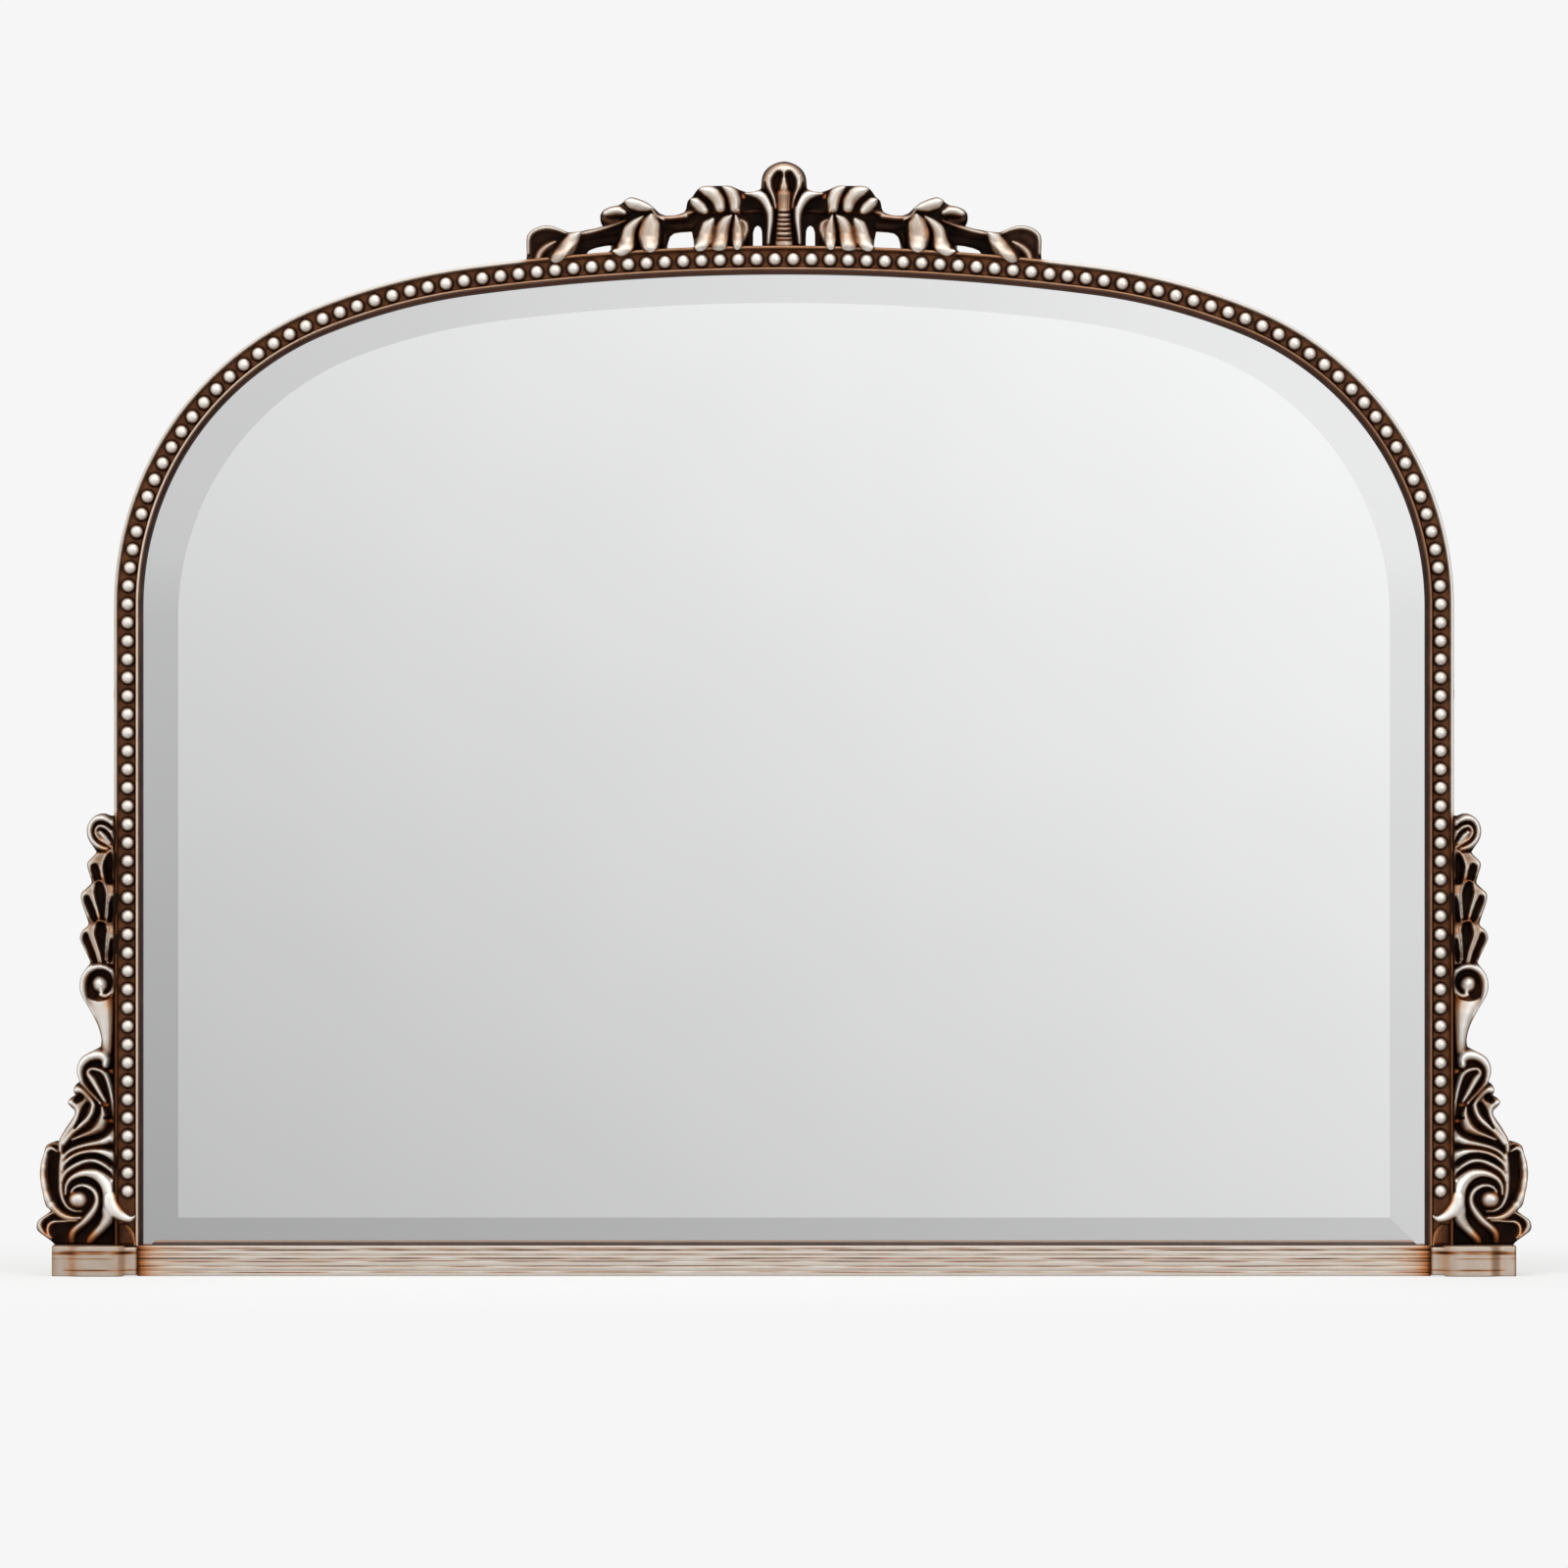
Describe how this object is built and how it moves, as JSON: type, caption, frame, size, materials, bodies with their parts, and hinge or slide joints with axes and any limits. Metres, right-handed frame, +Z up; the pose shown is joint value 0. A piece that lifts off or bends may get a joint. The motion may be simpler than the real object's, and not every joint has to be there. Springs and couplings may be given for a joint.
{
  "type": "arched wall mirror",
  "caption": "Wide arched overmantel wall mirror: bevelled glass in a beaded moulding with a carved leaf crest, carved side scrolls, a reeded base rail and plinth blocks.",
  "frame": {"origin": "centre of the mirror's footprint, on the plane that its base rail and plinth blocks stand on", "axes": "+X to the viewer's right, +Y towards the wall behind the mirror, +Z up; the glass faces -Y"},
  "size_m": [1.2224, 0.056, 0.9104],
  "materials": {
    "gilding": "antiqued silver-champagne leaf over brown, carved resin moulding",
    "bead_gilding": "antiqued silver leaf, rubbed bright on top of each bead",
    "rail_gilding": "antiqued silver leaf with brown and orange streaks along the reeds",
    "plinth_gilding": "antiqued silver-champagne leaf, brown towards the ends",
    "mirror": "silvered bevelled plate glass",
    "foam": "closed-cell foam pad",
    "board": "bare fibreboard",
    "screw_brass": "yellow zinc screw",
    "dowel_wood": "beech dowel",
    "pin_steel": "plain steel pin",
    "bumper_rubber": "black rubber",
    "hanger_brass": "brass-plated steel",
    "ground_patina": "dark brown patina in the recesses",
    "leaf_gilding": "antiqued silver-champagne leaf, bright ridges, brown and copper recesses"
  },
  "bodies": {
    "frame": {"stile_left": "gilding", "stile_right": "gilding", "corner_left": "gilding", "corner_right": "gilding", "haunch_left": "gilding", "haunch_right": "gilding", "crown_moulding": "gilding", "bead_string_left": "bead_gilding", "bead_string_right": "bead_gilding", "base_rail": "rail_gilding", "plinth_block_left": "plinth_gilding", "plinth_block_right": "plinth_gilding", "mirror_glass": "mirror", "glass_pads": "foam", "back_board": "board", "board_screws": "screw_brass", "joint_dowels": "dowel_wood", "ornament_pins": "pin_steel", "wall_bumpers": "bumper_rubber", "hanger_plate_left": "hanger_brass", "hanger_plate_right": "hanger_brass", "hanger_screws": "screw_brass", "crest_ground": "ground_patina", "crest_palmette": "leaf_gilding", "crest_scroll_left": "leaf_gilding", "crest_scroll_right": "leaf_gilding", "crest_upper_leaves_left": "leaf_gilding", "crest_upper_leaves_right": "leaf_gilding", "crest_lower_leaves_left": "leaf_gilding", "crest_lower_leaves_right": "leaf_gilding", "crest_frond_left": "leaf_gilding", "crest_frond_right": "leaf_gilding", "crest_bud_left": "leaf_gilding", "crest_bud_right": "leaf_gilding", "crest_end_left": "leaf_gilding", "crest_end_right": "leaf_gilding", "side_ground_left": "ground_patina", "side_ground_right": "ground_patina", "foot_leaf_left": "leaf_gilding", "foot_leaf_right": "leaf_gilding", "shell_rim_left": "leaf_gilding", "shell_rim_right": "leaf_gilding", "acanthus_scroll_left": "leaf_gilding", "acanthus_scroll_right": "leaf_gilding", "acanthus_leaf_left": "leaf_gilding", "acanthus_leaf_right": "leaf_gilding", "volute_left": "leaf_gilding", "volute_right": "leaf_gilding", "lower_husk_left": "leaf_gilding", "lower_husk_right": "leaf_gilding", "middle_husk_left": "leaf_gilding", "middle_husk_right": "leaf_gilding", "upper_husk_left": "leaf_gilding", "upper_husk_right": "leaf_gilding", "top_bud_left": "leaf_gilding", "top_bud_right": "leaf_gilding"},
    "left_ring": {"hanger_ring_left": "hanger_brass"},
    "right_ring": {"hanger_ring_right": "hanger_brass"}
  },
  "joints": [
    {"name": "left_ring_swing", "type": "hinge", "parent": "frame", "child": "left_ring", "pos_m": [-0.5384, 0.02445, 0.48], "axis": [1, 0, 0], "range_deg": [0, 165]},
    {"name": "right_ring_swing", "type": "hinge", "parent": "frame", "child": "right_ring", "pos_m": [0.5384, 0.02445, 0.48], "axis": [1, 0, 0], "range_deg": [0, 165]}
  ]
}
